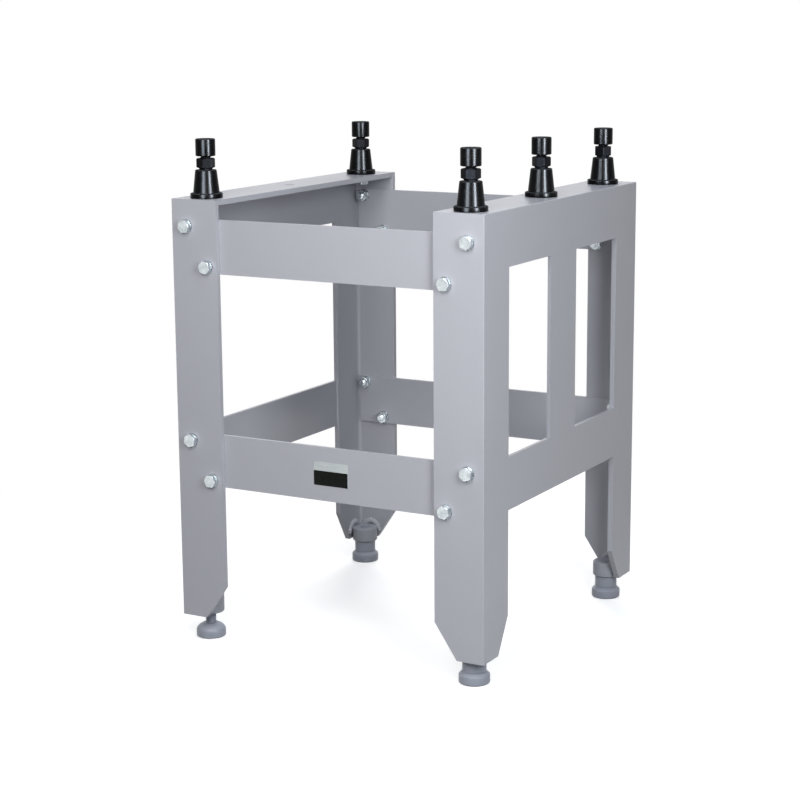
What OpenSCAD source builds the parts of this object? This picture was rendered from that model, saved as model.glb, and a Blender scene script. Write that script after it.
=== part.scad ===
// Stand for a granite surface plate.
// Two welded side frames of angle steel and flat bar are joined by four bolted
// cross rails. Five screw jacks on top carry the plate and four levelling feet
// stand on the floor. X runs along the front from left to right, Y runs to the
// back and Z up. The origin lies on the floor under the middle of the stand.

/* [Frame] */
// Width of the stand over its two side frames
stand_w = 500; // [420:5:700]
// Depth of the stand over its front and rear legs
stand_d = 516; // [420:2:800]
// Height of the frame's top face above the floor
frame_h = 655; // [560:5:850]
// Thickness of the angle steel
steel_t = 8; // [5:0.5:9]
// Thickness of the flat bars
flat_t = 5; // [4:0.5:7]
// Radius in the inner corner of an angle
root_r = 5; // [2:0.5:6]
// Radius of the outer corner of an angle
heel_r = 1; // [0.5:0.5:4]
// Radius of the inner edge at each end of an angle
toe_r = 1; // [0.5:0.5:4]

/* [Legs] */
// Width of the leg's flange that faces the front or the back
leg_face_w = 76; // [66:1:90]
// Width of the leg's flange that lies in the side frame
leg_side_w = 75; // [60:1:90]
// Height of the leg's lower end above the floor
leg_clear = 37; // [36:1:60]
// Height over which the flanges narrow towards the lower end
taper_h = 51; // [20:1:80]
// Width of the front or back flange at the lower end
toe_face_w = 41.5; // [34:0.5:60]
// Width of the side flange at the lower end
toe_side_w = 45; // [34:0.5:60]

/* [Top angles] */
// Width of the horizontal flange that carries the jacks
top_face_w = 75; // [66:1:90]
// Height of the vertical flange in the side frame
top_side_h = 78; // [60:0.5:90]

/* [Rails and post] */
// Height of the front and rear cross rails
cross_rail_h = 78; // [50:0.5:100]
// Distance from the frame's top face down to the upper cross rails
upper_drop = 28; // [15:0.5:60]
// Distance from the frame's top face down to the lower rails
lower_drop = 340; // [240:1:360]
// Gap between a cross rail's end and the corner of the leg
rail_end_gap = 1; // [0.5:0.5:3]
// Height of the lower rail in each side frame
side_rail_h = 76; // [50:1:100]
// Width of the upright post in the right side frame
post_w = 86.5; // [40:0.5:120]
// Distance of the post's middle in front of the stand's middle
post_offset = 6.5; // [0:0.5:40]

/* [Rail bolts] */
// Diameter of the rail bolts
bolt_d = 10; // [8:1:12]
// Width across flats of the bolt heads and nuts
bolt_af = 17; // [13:1:19]
// Height of the bolt heads
bolt_head_h = 6.4; // [5:0.2:8]
// Length of the bolts under the head
bolt_len = 30; // [28:1:40]
// Height of the nuts
nut_h = 8.4; // [6:0.2:10]
// Diameter of the washers
washer_d = 20; // [18:0.5:21]
// Thickness of the washers
washer_t = 2; // [1:0.5:3]
// Extra width of the bolt holes over the bolts
bolt_hole_gap = 1; // [0.5:0.5:2]
// Distance of the outer bolts from the stand's outer face
bolt_in = 24.5; // [24:0.5:30]
// Distance from an outer bolt to the inner bolt, across the flange
bolt_pitch = 34; // [28:0.5:36]
// Distance of each bolt from the edge of its rail
bolt_edge = 10.5; // [10.5:0.5:20]

/* [Jacks] */
// Distance of the left jacks from the side frame's outer face
left_jack_in = 40.5; // [34:0.5:45]
// Distance of the right jacks from the side frame's outer face
right_jack_in = 35; // [34:0.5:45]
// Distance of the front jacks from the stand's front face
jack_front_in = 30; // [28:0.5:80]
// Distance of the rear jacks from the stand's rear face
jack_rear_in = 49; // [28:0.5:80]
// Distance of the middle jack in front of the stand's middle
jack_middle_offset = 9.5; // [0:0.5:40]
// Distance of the spare jack hole in front of the stand's middle
spare_hole_offset = 6; // [0:0.5:40]
// Diameter of the rim at the foot of a jack
rim_d = 46.5; // [40:0.5:54]
// Height of the rim
rim_h = 7; // [4:0.5:8]
// Diameter of the cone where it meets the rim
cone_low_d = 38; // [34:0.5:40]
// Diameter of the cone at its top
cone_top_d = 31; // [28:0.5:34]
// Height of the cone above the rim
cone_h = 33; // [30:0.5:45]
// Diameter of the jack screw
screw_d = 16; // [14:1:18]
// Rise of the jack screw for one turn
screw_pitch = 2; // [1.5:0.25:2.5]
// Depth of the screw's bore in the jack base
screw_bore_depth = 23.5; // [20:0.5:24]
// Width across flats of the lock nut
lock_nut_af = 24; // [22:1:28]
// Height of the lock nut with its round seat
lock_nut_h = 16.5; // [10:0.5:20]
// Diameter of the lock nut's round seat
lock_nut_seat_d = 19; // [18.5:0.5:22]
// Height of the lock nut's round seat
lock_nut_seat_h = 2; // [1:0.5:4]
// Height of the wide bevel above the seat
lock_nut_bevel_h = 2; // [1:0.5:4]
// Length of bare screw between the lock nut and the cap
screw_neck_h = 3; // [2:0.5:10]
// Diameter of the cap that carries the plate
cap_d = 28.5; // [24:0.5:34]
// Height of the cap
cap_h = 24.5; // [18:0.5:30]
// Depth of the socket in the cap, in which the screw turns
cap_socket_h = 12; // [8:0.5:16]
// Diameter of the bolt that holds a jack base on the frame
jack_bolt_d = 14; // [10:1:16]
// Width across flats of that bolt's head
jack_bolt_af = 21; // [17:1:24]
// Height of that bolt's head
jack_bolt_head_h = 8.8; // [6:0.2:10]
// Length of that bolt under its head
jack_bolt_len = 20; // [18:0.5:20]
// Extra depth of the bolt's hole in the jack base
jack_bolt_end_gap = 1; // [0.5:0.5:1.5]
// Extra width of the jack holes in the frame over the bolts
jack_hole_gap = 1; // [0.5:0.5:2]

/* [Feet] */
// Diameter of the threaded bosses welded into the legs
boss_d = 41; // [36:1:46]
// Height of the bosses
boss_h = 23; // [18:1:40]
// Height of the boss of the slim foot at the front left
slim_boss_h = 31; // [18:1:40]
// Distance by which a boss stands below its leg
boss_drop = 2; // [1:0.5:4]
// Distance of the slim foot's boss above the lower end of its leg
slim_boss_lift = 1; // [0:0.5:6]
// Gap between a boss and the leg, filled by the weld
weld_gap = 0.5; // [0.5:0.5:3]
// Width of the weld between a boss and a flange
weld_w = 30; // [16:1:34]
// Distance by which the weld stays back from the boss's ends
weld_set_back = 3; // [2:0.5:6]
// Diameter of the foot screws
foot_screw_d = 16; // [12:1:18]
// Rise of a foot screw for one turn
foot_pitch = 2; // [1.5:0.25:2.5]
// Length of foot screw that stands above its boss
foot_screw_spare = 1; // [1:0.5:40]
// Diameter of the foot pads
pad_d = 44; // [38:1:54]
// Height of the straight rim of a pad
pad_rim_h = 12.5; // [6:0.5:14]
// Height of a pad
pad_h = 17; // [16:0.5:22]
// Diameter of the round shoulder on three foot screws
shoulder_d = 34; // [26:1:36]
// Diameter of the spigot that turns in a pad
spigot_d = 16; // [12:1:18]
// Length of the spigot in the pad
spigot_h = 8; // [6:0.5:10]
// Height of the slim foot's pad
slim_pad_h = 20.5; // [18:0.5:24]
// Height of the straight rim of the slim foot's pad
slim_rim_h = 9; // [6:0.5:14]
// Diameter of the flat top of the slim foot's domed pad
slim_top_d = 19; // [18.5:0.5:26]
// Depth of the socket in the slim foot's pad
slim_socket_h = 10.5; // [6:0.5:14]
// Bevel along the lower edge of the pads
pad_bevel = 1.5; // [0.5:0.5:3]

/* [Name plate] */
// Width of the blank name plate
plate_w = 56; // [40:1:90]
// Height of the blank name plate
plate_h = 34; // [20:1:60]
// Thickness of the name plate
plate_t = 0.5; // [0.3:0.1:1.5]
// Distance of the plate's middle to the right of the stand's middle
plate_offset = 5; // [-60:0.5:60]
// Distance of the plate's middle above the middle of the rail
plate_lift = 0; // [-6:0.5:6]

/* [Hidden] */
$fn = 64;

// Sides and ends of the stand
left = -1;
right = 1;
front = -1;
rear = 1;

half_w = stand_w / 2;
half_d = stand_d / 2;
// Length by which a cutting shape runs past what it cuts
overrun = 2;
// Clearance round a screw in its thread or a spigot in its socket
screw_fit = 0.1;
// Clearance at the blind end of a bore
end_fit = 0.5;
// Bevel on the edges of turned pieces and nuts
edge_bevel = 1;
// Number of steps in the slim pad's dome
dome_steps = 6;

// Heights of the rails
upper_rail_top = frame_h - upper_drop;
lower_rail_top = frame_h - lower_drop;
window_top = frame_h - top_side_h;

// Places of the jacks along the depth
jack_front_y = jack_front_in - half_d;
jack_middle_y = -jack_middle_offset;
jack_rear_y = half_d - jack_rear_in;
jack_base_h = rim_h + cone_h;
cap_low_z = jack_base_h + lock_nut_h + screw_neck_h;
// Turns in degrees at which the five lock nuts have come to rest
nut_turns = [-14, 27, 27, 16, -7];

// Feet and bosses
boss_low_z = leg_clear - boss_drop;
slim_boss_low_z = leg_clear + slim_boss_lift;
boss_in = steel_t + weld_gap + boss_d / 2;

// Bolt places in a leg, across the flange and above the floor
bolt_points = [
    [bolt_in, upper_rail_top - bolt_edge],
    [bolt_in + bolt_pitch, upper_rail_top - cross_rail_h + bolt_edge],
    [bolt_in, lower_rail_top - bolt_edge],
    [bolt_in + bolt_pitch, lower_rail_top - cross_rail_h + bolt_edge]];
// Turn from one bolt head to the next, in degrees
bolt_turn = 23;

paint = [0.68, 0.69, 0.73];
foot_paint = [0.56, 0.58, 0.62];
black = [0.06, 0.06, 0.07];
dark_steel = [0.13, 0.13, 0.14];
zinc = [0.80, 0.82, 0.82];

// Puts a shape drawn from an outer corner inwards at a corner of the stand
module corner(side, end) {
    translate([side * half_w, end * half_d, 0])
        mirror([side > 0 ? 1 : 0, 0, 0])
            mirror([0, end > 0 ? 1 : 0, 0])
                children();
}

// Puts a shape drawn from the outer face inwards at one side of the stand
module side_frame(side) {
    translate([side * half_w, 0, 0])
        mirror([side > 0 ? 1 : 0, 0, 0])
            children();
}

module jack_place(side, y) {
    jack_in = side > 0 ? right_jack_in : left_jack_in;
    translate([side * (half_w - jack_in), y, frame_h])
        children();
}

// Extrudes an outline drawn in Y and Z along X
module along_x(length) {
    rotate([90, 0, 90])
        linear_extrude(height = length)
            children();
}

// Extrudes an outline drawn in X and Z along Y
module along_y(length) {
    translate([0, length, 0])
        rotate([90, 0, 0])
            linear_extrude(height = length)
                children();
}

// What is cut off a square corner to round it, with the arc's centre at zero
module corner_waste(r) {
    difference() {
        square(r + overrun);
        circle(r);
    }
}

// Section of an angle with its outer corner at zero
module angle_section(wide, high) {
    difference() {
        union() {
            square([wide, steel_t]);
            square([steel_t, high]);
            translate([steel_t, steel_t])
                difference() {
                    square(root_r);
                    translate([root_r, root_r])
                        circle(root_r);
                }
        }
        translate([heel_r, heel_r])
            rotate(180)
                corner_waste(heel_r);
        translate([wide - toe_r, steel_t - toe_r])
            corner_waste(toe_r);
        translate([steel_t - toe_r, high - toe_r])
            corner_waste(toe_r);
    }
}

// Leg with a mitred top and a narrowed lower end, drawn at a corner
module leg() {
    taper_top = leg_clear + taper_h;
    color(paint)
        difference() {
            intersection() {
                linear_extrude(height = frame_h)
                    angle_section(leg_face_w, leg_side_w);
                along_x(leg_face_w)
                    polygon([[0, leg_clear], [toe_side_w, leg_clear],
                        [leg_side_w, taper_top], [leg_side_w, window_top],
                        [0, frame_h]]);
                along_y(leg_side_w)
                    polygon([[0, leg_clear], [toe_face_w, leg_clear],
                        [leg_face_w, taper_top], [leg_face_w, frame_h],
                        [0, frame_h]]);
            }
            for (p = bolt_points)
                translate([p[0], -overrun, p[1]])
                    rotate([-90, 0, 0])
                        cylinder(h = steel_t + overrun + overrun,
                            d = bolt_d + bolt_hole_gap);
        }
}

// Angle along the top of a side frame, mitred at both ends and drilled for three jacks
module top_angle(jack_in, middle_y) {
    color(paint)
        difference() {
            intersection() {
                translate([0, -half_d, frame_h])
                    rotate([-90, 0, 0])
                        linear_extrude(height = stand_d)
                            angle_section(top_face_w, top_side_h);
                along_x(top_face_w)
                    polygon([[-half_d, frame_h], [half_d, frame_h],
                        [half_d - leg_side_w, window_top],
                        [leg_side_w - half_d, window_top]]);
            }
            for (y = [jack_front_y, middle_y, jack_rear_y])
                translate([jack_in, y, frame_h - steel_t - overrun])
                    cylinder(h = steel_t + overrun + overrun,
                        d = jack_bolt_d + jack_hole_gap);
        }
}

// Flat bar between the two legs of a side frame
module lower_rail() {
    color(paint)
        translate([0, leg_side_w - half_d, lower_rail_top - side_rail_h])
            cube([flat_t, stand_d - leg_side_w - leg_side_w, side_rail_h]);
}

// Upright bar between the top angle and the lower rail
module middle_post() {
    color(paint)
        translate([0, -post_offset - post_w / 2, lower_rail_top])
            cube([flat_t, post_w, window_top - lower_rail_top]);
}

// Flat bar behind the flanges of the two front or the two rear legs
module cross_rail(end, top_z) {
    rail_in = steel_t + root_r + rail_end_gap;
    color(paint)
        difference() {
            mirror([0, end > 0 ? 1 : 0, 0])
                translate([rail_in - half_w, steel_t - half_d, top_z - cross_rail_h])
                    cube([stand_w - rail_in - rail_in, flat_t, cross_rail_h]);
            for (side = [left, right], p = bolt_points)
                corner(side, end)
                    translate([p[0], steel_t - overrun, p[1]])
                        rotate([-90, 0, 0])
                            cylinder(h = flat_t + overrun + overrun,
                                d = bolt_d + bolt_hole_gap);
        }
}

// Blank foil plate on the front lower rail
module name_plate() {
    color(dark_steel)
        translate([plate_offset - plate_w / 2, steel_t - half_d - plate_t,
            lower_rail_top - cross_rail_h / 2 + plate_lift - plate_h / 2])
            cube([plate_w, plate_t, plate_h]);
}

// Six-sided body with both ends bevelled or only the upper one
module hexagon(flats, height, both) {
    wide_r = flats / sqrt(3);
    low_r = both ? flats / 2 : wide_r;
    low_z = both ? edge_bevel : 0;
    intersection() {
        cylinder(h = height, r = wide_r, $fn = 6);
        rotate_extrude()
            polygon([[0, 0], [low_r, 0], [wide_r, low_z],
                [wide_r, height - edge_bevel], [flats / 2, height], [0, height]]);
    }
}

module hex_nut(flats, height, bore_d) {
    difference() {
        hexagon(flats, height, true);
        translate([0, 0, -overrun])
            cylinder(h = height + overrun + overrun, d = bore_d);
    }
}

// Screw shank from zero up with a bevelled upper end
module shank(d, length) {
    rotate_extrude()
        polygon([[0, 0], [d / 2, 0], [d / 2, length - edge_bevel],
            [d / 2 - edge_bevel, length], [0, length]]);
}

module hex_bolt(d, length, flats, head_h) {
    shank(d, length);
    mirror([0, 0, 1])
        hexagon(flats, head_h, false);
}

module washer() {
    difference() {
        cylinder(h = washer_t, d = washer_d);
        translate([0, 0, -overrun])
            cylinder(h = washer_t + overrun + overrun, d = bolt_d + bolt_hole_gap / 2);
    }
}

// Repeats a shape at all rail bolts, with its axis pointing into the stand
module at_rail_bolts(depth) {
    for (side = [left, right], end = [front, rear], i = [0 : len(bolt_points) - 1])
        corner(side, end)
            translate([bolt_points[i][0], depth, bolt_points[i][1]])
                rotate([-90, 0, 0])
                    rotate(bolt_turn * (i + side + end + end))
                        children();
}

module rail_bolts() {
    color(zinc)
        at_rail_bolts(-washer_t)
            hex_bolt(bolt_d, bolt_len, bolt_af, bolt_head_h);
}

module bolt_washers() {
    color(zinc)
        at_rail_bolts(-washer_t)
            washer();
}

module nut_washers() {
    color(zinc)
        at_rail_bolts(steel_t + flat_t)
            washer();
}

module rail_nuts() {
    color(zinc)
        at_rail_bolts(steel_t + flat_t + washer_t)
            hex_nut(bolt_af, nut_h, bolt_d + screw_fit + screw_fit);
}

// Threaded boss with the welds that join it to both flanges of the leg
module boss(low_z, height) {
    weld_h = height - weld_set_back - weld_set_back;
    color(paint)
        translate([0, 0, low_z])
            difference() {
                union() {
                    translate([boss_in, boss_in, 0])
                        rotate_extrude()
                            polygon([[0, 0], [boss_d / 2 - edge_bevel, 0],
                                [boss_d / 2, edge_bevel],
                                [boss_d / 2, height - edge_bevel],
                                [boss_d / 2 - edge_bevel, height], [0, height]]);
                    translate([steel_t, boss_in - weld_w / 2, weld_set_back])
                        cube([boss_in - steel_t, weld_w, weld_h]);
                    translate([boss_in - weld_w / 2, steel_t, weld_set_back])
                        cube([weld_w, boss_in - steel_t, weld_h]);
                }
                translate([boss_in, boss_in, -overrun])
                    cylinder(h = height + overrun + overrun,
                        d = foot_screw_d + screw_fit + screw_fit);
            }
}

// Foot screw with a wide shoulder that meets the boss when screwed home
module shouldered_foot_screw() {
    color(foot_paint)
        translate([boss_in, boss_in, 0]) {
            translate([0, 0, boss_low_z])
                shank(foot_screw_d, boss_h + foot_screw_spare);
            translate([0, 0, pad_h])
                cylinder(h = boss_low_z - pad_h, d = shoulder_d);
            translate([0, 0, pad_h - spigot_h])
                cylinder(h = spigot_h, d = spigot_d);
        }
}

module wide_foot_pad() {
    bevel_r = pad_d / 2 - pad_bevel;
    color(foot_paint)
        translate([boss_in, boss_in, 0])
            difference() {
                rotate_extrude()
                    polygon([[0, 0], [bevel_r, 0], [pad_d / 2, pad_bevel],
                        [pad_d / 2, pad_rim_h], [shoulder_d / 2, pad_h], [0, pad_h]]);
                translate([0, 0, pad_h - spigot_h - end_fit])
                    cylinder(h = spigot_h + end_fit + overrun,
                        d = spigot_d + screw_fit + screw_fit);
            }
}

// Plain foot screw that stands in the socket of the domed pad
module slim_foot_screw() {
    low_z = slim_pad_h - slim_socket_h;
    top_z = slim_boss_low_z + slim_boss_h + foot_screw_spare;
    color(foot_paint)
        translate([boss_in, boss_in, low_z])
            shank(foot_screw_d, top_z - low_z);
}

module domed_foot_pad() {
    bevel_r = pad_d / 2 - pad_bevel;
    // The dome is part of an ellipse round the pad's axis, cut off by its flat top
    top_angle = acos(slim_top_d / pad_d);
    dome_h = (slim_pad_h - slim_rim_h) / sin(top_angle);
    dome_points = [for (i = [0 : dome_steps])
        [pad_d / 2 * cos(top_angle * i / dome_steps),
            slim_rim_h + dome_h * sin(top_angle * i / dome_steps)]];
    color(foot_paint)
        translate([boss_in, boss_in, 0])
            difference() {
                rotate_extrude()
                    polygon(concat([[0, 0], [bevel_r, 0], [pad_d / 2, pad_bevel]],
                        dome_points, [[0, slim_pad_h]]));
                translate([0, 0, slim_pad_h - slim_socket_h])
                    cylinder(h = slim_socket_h + overrun,
                        d = foot_screw_d + screw_fit + screw_fit);
            }
}

// Turned jack base, bored for the screw above and for its bolt below
module jack_base() {
    bolt_hole_h = jack_bolt_len - steel_t + jack_bolt_end_gap;
    color(black)
        difference() {
            rotate_extrude()
                polygon([[0, 0], [rim_d / 2, 0], [rim_d / 2, rim_h - edge_bevel],
                    [rim_d / 2 - edge_bevel, rim_h], [cone_low_d / 2, rim_h],
                    [cone_top_d / 2, jack_base_h - edge_bevel],
                    [cone_top_d / 2 - edge_bevel, jack_base_h], [0, jack_base_h]]);
            translate([0, 0, jack_base_h - screw_bore_depth])
                cylinder(h = screw_bore_depth + overrun,
                    d = screw_d + screw_fit + screw_fit);
            translate([0, 0, -overrun])
                cylinder(h = bolt_hole_h + overrun,
                    d = jack_bolt_d + screw_fit + screw_fit);
        }
}

// Lock nut with a round seat and a wide bevel under its hexagon
module jack_nut(turn) {
    wide_r = lock_nut_af / sqrt(3);
    seat_r = lock_nut_seat_d / 2;
    color(dark_steel)
        translate([0, 0, jack_base_h])
            rotate(turn) difference() {
                intersection() {
                    cylinder(h = lock_nut_h, r = wide_r, $fn = 6);
                    rotate_extrude()
                        polygon([[0, 0], [seat_r, 0], [seat_r, lock_nut_seat_h],
                            [wide_r, lock_nut_seat_h + lock_nut_bevel_h],
                            [wide_r, lock_nut_h - edge_bevel],
                            [lock_nut_af / 2, lock_nut_h], [0, lock_nut_h]]);
                }
                translate([0, 0, -overrun])
                    cylinder(h = lock_nut_h + overrun + overrun,
                        d = screw_d + screw_fit + screw_fit);
            }
}

// Screw that stands in the base, the lock nut and the cap's socket
module jack_screw() {
    low_z = jack_base_h - screw_bore_depth + end_fit + end_fit;
    color(dark_steel)
        translate([0, 0, low_z])
            shank(screw_d, cap_low_z + cap_socket_h - low_z);
}

module jack_cap() {
    color(black)
        translate([0, 0, cap_low_z])
            difference() {
                rotate_extrude()
                    polygon([[0, 0], [cap_d / 2 - edge_bevel, 0], [cap_d / 2, edge_bevel],
                        [cap_d / 2, cap_h - edge_bevel],
                        [cap_d / 2 - edge_bevel, cap_h], [0, cap_h]]);
                translate([0, 0, -overrun])
                    cylinder(h = cap_socket_h + overrun,
                        d = screw_d + screw_fit + screw_fit);
            }
}

// Bolts that hold the five jack bases, with their heads under the top angles
module jack_bolts() {
    places = [[left, jack_front_y], [left, jack_rear_y], [right, jack_front_y],
        [right, jack_middle_y], [right, jack_rear_y]];
    color(zinc)
        for (p = places)
            jack_place(p[0], p[1])
                translate([0, 0, -steel_t])
                    hex_bolt(jack_bolt_d, jack_bolt_len, jack_bolt_af, jack_bolt_head_h);
}

corner(left, front) leg();  // left_front_leg
corner(left, rear) leg();  // left_rear_leg
corner(right, front) leg();  // right_front_leg
corner(right, rear) leg();  // right_rear_leg
side_frame(left) top_angle(left_jack_in, -spare_hole_offset);  // left_top_angle
side_frame(right) top_angle(right_jack_in, jack_middle_y);  // right_top_angle
side_frame(left) lower_rail();  // left_lower_rail
side_frame(right) lower_rail();  // right_lower_rail
side_frame(right) middle_post();  // right_middle_post
cross_rail(front, upper_rail_top);  // front_upper_rail
cross_rail(front, lower_rail_top);  // front_lower_rail
cross_rail(rear, upper_rail_top);  // rear_upper_rail
cross_rail(rear, lower_rail_top);  // rear_lower_rail
rail_bolts();
bolt_washers();
nut_washers();
rail_nuts();
name_plate();
corner(left, front) boss(slim_boss_low_z, slim_boss_h);  // left_front_boss
corner(left, rear) boss(boss_low_z, boss_h);  // left_rear_boss
corner(right, front) boss(boss_low_z, boss_h);  // right_front_boss
corner(right, rear) boss(boss_low_z, boss_h);  // right_rear_boss
corner(left, front) slim_foot_screw();  // left_front_foot_screw
corner(left, rear) shouldered_foot_screw();  // left_rear_foot_screw
corner(right, front) shouldered_foot_screw();  // right_front_foot_screw
corner(right, rear) shouldered_foot_screw();  // right_rear_foot_screw
corner(left, front) domed_foot_pad();  // left_front_foot_pad
corner(left, rear) wide_foot_pad();  // left_rear_foot_pad
corner(right, front) wide_foot_pad();  // right_front_foot_pad
corner(right, rear) wide_foot_pad();  // right_rear_foot_pad
jack_place(left, jack_front_y) jack_base();  // left_front_jack_base
jack_place(left, jack_rear_y) jack_base();  // left_rear_jack_base
jack_place(right, jack_front_y) jack_base();  // right_front_jack_base
jack_place(right, jack_middle_y) jack_base();  // right_middle_jack_base
jack_place(right, jack_rear_y) jack_base();  // right_rear_jack_base
jack_place(left, jack_front_y) jack_nut(nut_turns[0]);  // left_front_jack_nut
jack_place(left, jack_rear_y) jack_nut(nut_turns[1]);  // left_rear_jack_nut
jack_place(right, jack_front_y) jack_nut(nut_turns[2]);  // right_front_jack_nut
jack_place(right, jack_middle_y) jack_nut(nut_turns[3]);  // right_middle_jack_nut
jack_place(right, jack_rear_y) jack_nut(nut_turns[4]);  // right_rear_jack_nut
jack_place(left, jack_front_y) jack_screw();  // left_front_jack_screw
jack_place(left, jack_rear_y) jack_screw();  // left_rear_jack_screw
jack_place(right, jack_front_y) jack_screw();  // right_front_jack_screw
jack_place(right, jack_middle_y) jack_screw();  // right_middle_jack_screw
jack_place(right, jack_rear_y) jack_screw();  // right_rear_jack_screw
jack_place(left, jack_front_y) jack_cap();  // left_front_jack_cap
jack_place(left, jack_rear_y) jack_cap();  // left_rear_jack_cap
jack_place(right, jack_front_y) jack_cap();  // right_front_jack_cap
jack_place(right, jack_middle_y) jack_cap();  // right_middle_jack_cap
jack_place(right, jack_rear_y) jack_cap();  // right_rear_jack_cap
jack_bolts();
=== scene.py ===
import math

import bmesh
import bpy
from mathutils import Matrix, Vector

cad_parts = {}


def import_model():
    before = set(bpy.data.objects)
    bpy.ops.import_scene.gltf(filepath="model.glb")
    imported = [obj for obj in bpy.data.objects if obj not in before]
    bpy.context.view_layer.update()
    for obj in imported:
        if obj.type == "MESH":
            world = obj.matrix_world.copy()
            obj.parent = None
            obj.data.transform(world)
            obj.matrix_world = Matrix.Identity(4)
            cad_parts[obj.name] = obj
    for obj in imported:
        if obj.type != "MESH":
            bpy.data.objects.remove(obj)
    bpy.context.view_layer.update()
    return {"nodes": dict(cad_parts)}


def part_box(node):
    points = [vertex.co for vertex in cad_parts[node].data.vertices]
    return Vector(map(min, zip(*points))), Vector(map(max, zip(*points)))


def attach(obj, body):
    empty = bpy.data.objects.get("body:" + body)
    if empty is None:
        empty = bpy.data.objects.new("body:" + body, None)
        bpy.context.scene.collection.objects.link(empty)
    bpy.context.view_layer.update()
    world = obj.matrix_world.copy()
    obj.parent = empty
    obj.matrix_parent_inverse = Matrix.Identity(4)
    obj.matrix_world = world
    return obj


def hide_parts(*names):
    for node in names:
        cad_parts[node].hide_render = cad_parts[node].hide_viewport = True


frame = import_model()
nodes = frame["nodes"]

MM = 0.001
SIDES = {"left": -1, "right": 1}
ENDS = {"front": -1, "rear": 1}
JACKS = ["left_front", "left_rear", "right_front", "right_middle", "right_rear"]
FEET = ["left_front", "left_rear", "right_front", "right_rear"]
SLIM_FOOT = "left_front"
CROSS_RAILS = ["front_upper_rail", "front_lower_rail", "rear_upper_rail", "rear_lower_rail"]


# Materials. Noise scales are counts a metre, bump distances are metres.

DUST = (0.52, 0.53, 0.54)


def shader(name):
    m = bpy.data.materials.new(name)
    m.use_nodes = True
    return m, m.node_tree, m.node_tree.nodes["Principled BSDF"]


def feed(nt, socket, value):
    if isinstance(value, bpy.types.NodeSocket):
        nt.links.new(value, socket)
    else:
        socket.default_value = value


def node(nt, kind, inputs=None, **settings):
    n = nt.nodes.new(kind)
    for k, v in settings.items():
        setattr(n, k, v)
    for k, v in (inputs or {}).items():
        feed(nt, n.inputs[k], v)
    return n


def place(nt):
    return node(nt, "ShaderNodeTexCoord").outputs["Object"]


def xyz_of(nt, vector):
    return node(nt, "ShaderNodeSeparateXYZ", {"Vector": vector}).outputs


def grain(nt, where, scale, detail=2.0, rough=0.5):
    n = node(nt, "ShaderNodeTexNoise", {"Vector": where, "Scale": scale, "Detail": detail, "Roughness": rough})
    return n.outputs["Fac"]


def spread(nt, value, low, high, start=0.3, end=0.7):
    n = node(nt, "ShaderNodeMapRange",
             {"Value": value, "From Min": start, "From Max": end, "To Min": low, "To Max": high})
    return n.outputs["Result"]


def blend(nt, fac, a, b):
    """Colour from a at 0 to b at 1, each a colour or a socket."""
    n = node(nt, "ShaderNodeMix", {"Factor": fac}, data_type="RGBA")
    for key, v in (("A", a), ("B", b)):
        feed(nt, n.inputs[key], v if isinstance(v, bpy.types.NodeSocket) else (*v, 1))
    return n.outputs["Result"]


def bump(nt, height, strength, distance, under=None):
    inputs = {"Height": height, "Strength": strength, "Distance": distance}
    if under is not None:
        inputs["Normal"] = under
    return node(nt, "ShaderNodeBump", inputs).outputs["Normal"]


def maths(nt, a, b, how="MULTIPLY"):
    n = node(nt, "ShaderNodeMath", operation=how)
    for i, v in enumerate((a, b)):
        feed(nt, n.inputs[i], v)
    return n.outputs[0]


def enamel(name, dark, light, rough=(0.30, 0.34), peel=0.1, level=0.45):
    """Sprayed enamel with an orange peel, a faint cloudiness and dust on its top faces."""
    m, nt, b = shader(name)
    at = place(nt)
    cloud = spread(nt, grain(nt, at, 11.0, 3.0), 0.0, 1.0)
    fine = spread(nt, grain(nt, at, 900.0), 0.0, 1.0, 0.35, 0.65)
    base = blend(nt, maths(nt, maths(nt, cloud, 0.6), maths(nt, fine, 0.4), "ADD"), dark, light)
    up = xyz_of(nt, node(nt, "ShaderNodeNewGeometry").outputs["Normal"])["Z"]
    dust = maths(nt, spread(nt, up, 0.0, 0.08, 0.6, 1.0), spread(nt, grain(nt, at, 40.0, 4.0), 0.2, 1.0))
    nt.links.new(blend(nt, dust, base, DUST), b.inputs["Base Color"])
    nt.links.new(spread(nt, grain(nt, at, 23.0, 3.0), *rough), b.inputs["Roughness"])
    b.inputs["Specular IOR Level"].default_value = level
    nt.links.new(bump(nt, grain(nt, at, 620.0, 1.5), peel, 0.0004), b.inputs["Normal"])
    return m


def gloss_black(name, dark, light, rough, level):
    """Black gloss finish on turned steel, with the faint rings of the lathe under it."""
    m, nt, b = shader(name)
    at = place(nt)
    cloud = spread(nt, grain(nt, at, 55.0, 3.0), 0.0, 1.0)
    nt.links.new(blend(nt, cloud, dark, light), b.inputs["Base Color"])
    nt.links.new(spread(nt, grain(nt, at, 120.0, 3.0), *rough), b.inputs["Roughness"])
    b.inputs["Specular IOR Level"].default_value = level
    rings = node(nt, "ShaderNodeTexNoise", {"W": xyz_of(nt, at)["Z"], "Scale": 2600.0, "Detail": 2.0},
                 noise_dimensions="1D")
    first = bump(nt, rings.outputs["Fac"], 0.05, 0.0002)
    nt.links.new(bump(nt, grain(nt, at, 800.0, 1.0), 0.05, 0.0003, first), b.inputs["Normal"])
    return m


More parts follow.
